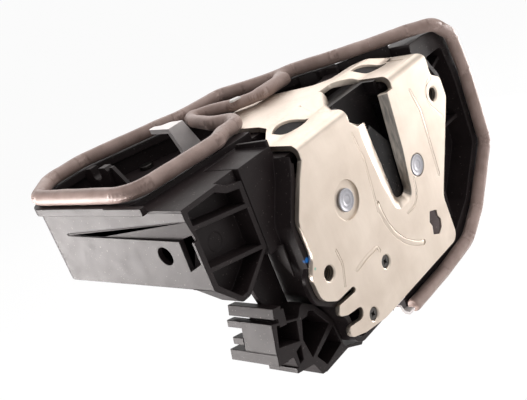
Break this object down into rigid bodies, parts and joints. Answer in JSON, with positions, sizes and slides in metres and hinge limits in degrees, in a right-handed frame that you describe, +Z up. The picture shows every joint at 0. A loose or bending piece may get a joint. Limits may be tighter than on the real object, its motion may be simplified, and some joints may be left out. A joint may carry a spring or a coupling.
{
  "type": "car door lock",
  "caption": "Side-door lock of a car: steel latch plate with a striker slot, catch and pawl, plastic housing with a cable tray, foam seal.",
  "frame": {"origin": "centre of the lower left threaded hole, on the front face of the latch plate", "axes": "+X along the latch plate's width, +Y back into the door, +Z up towards the cabin side"},
  "size_m": [0.1657, 0.0974, 0.0962],
  "materials": {
    "zinc_steel": "stamped steel with a warm zinc finish, satin",
    "steel": "plain steel, satin",
    "spring_steel": "spring wire",
    "bright_steel": "bright zinc",
    "screw_steel": "zinc plated",
    "black_plastic": "moulded, slightly glossy black",
    "jacket_plastic": "moulded over the catch",
    "switch_plastic": "moulded",
    "gear_plastic": "natural gear plastic",
    "bumper_rubber": "soft",
    "motor_can": "drawn can",
    "seal_foam": "closed-cell foam cord, taupe"
  },
  "bodies": {
    "frame": {"latch_plate": "zinc_steel", "back_plate": "steel", "catch_pin": "steel", "pawl_pin": "steel", "screw_inner": "screw_steel", "screw_lower": "screw_steel", "catch_spring": "spring_steel", "pawl_spring": "spring_steel", "catch_bumper": "bumper_rubber", "mouth_insert": "black_plastic", "catch_switch": "switch_plastic", "latch_case": "black_plastic", "rim_frame": "black_plastic", "actuator_housing": "black_plastic", "tray_cover": "black_plastic", "cable_cradle": "black_plastic", "cover_screw_1": "screw_steel", "cover_screw_2": "screw_steel", "cover_screw_3": "screw_steel", "release_spring": "spring_steel", "sector_pin": "steel", "lock_motor": "motor_can", "clip_bracket": "black_plastic", "metal_hook": "steel", "foam_seal": "seal_foam"},
    "catch": {"catch": "steel", "catch_jacket": "jacket_plastic"},
    "pawl": {"pawl": "steel"},
    "release": {"release_lever": "bright_steel", "release_shaft": "steel"},
    "lock_sector": {"lock_sector": "gear_plastic"},
    "motor_shaft": {"motor_shaft": "steel"}
  },
  "joints": [
    {"name": "catch_turn", "type": "hinge", "parent": "frame", "child": "catch", "pos_m": [0.0632, 0.007, 0.0075], "axis": [0, -1, 0], "range_deg": [0, 65], "stiffness_Nm_per_rad": 0.05, "springref_deg": -34.38},
    {"name": "release_turn", "type": "hinge", "parent": "frame", "child": "release", "pos_m": [-0.006, 0.04, 0.025], "axis": [0, -1, 0], "range_deg": [0, 12], "stiffness_Nm_per_rad": 0.08, "springref_deg": -22.92},
    {"name": "pawl_turn", "type": "hinge", "parent": "frame", "child": "pawl", "pos_m": [0.0197, 0.007, 0.0164], "axis": [0, 1, 0], "range_deg": [0, 9]},
    {"name": "motor_turn", "type": "hinge", "parent": "frame", "child": "motor_shaft", "pos_m": [0.04, 0.055, 0.0272], "axis": [0, -1, 0], "range_deg": [-75, 0]},
    {"name": "lock_turn", "type": "hinge", "parent": "frame", "child": "lock_sector", "pos_m": [0.0288, 0.055, 0.0272], "axis": [0, -1, 0], "range_deg": [0, 30]}
  ],
  "couplings": [
    {"joint": "pawl_turn", "follows": "release_turn", "ratio": 0.75},
    {"joint": "lock_turn", "follows": "motor_turn", "ratio": -0.4}
  ]
}
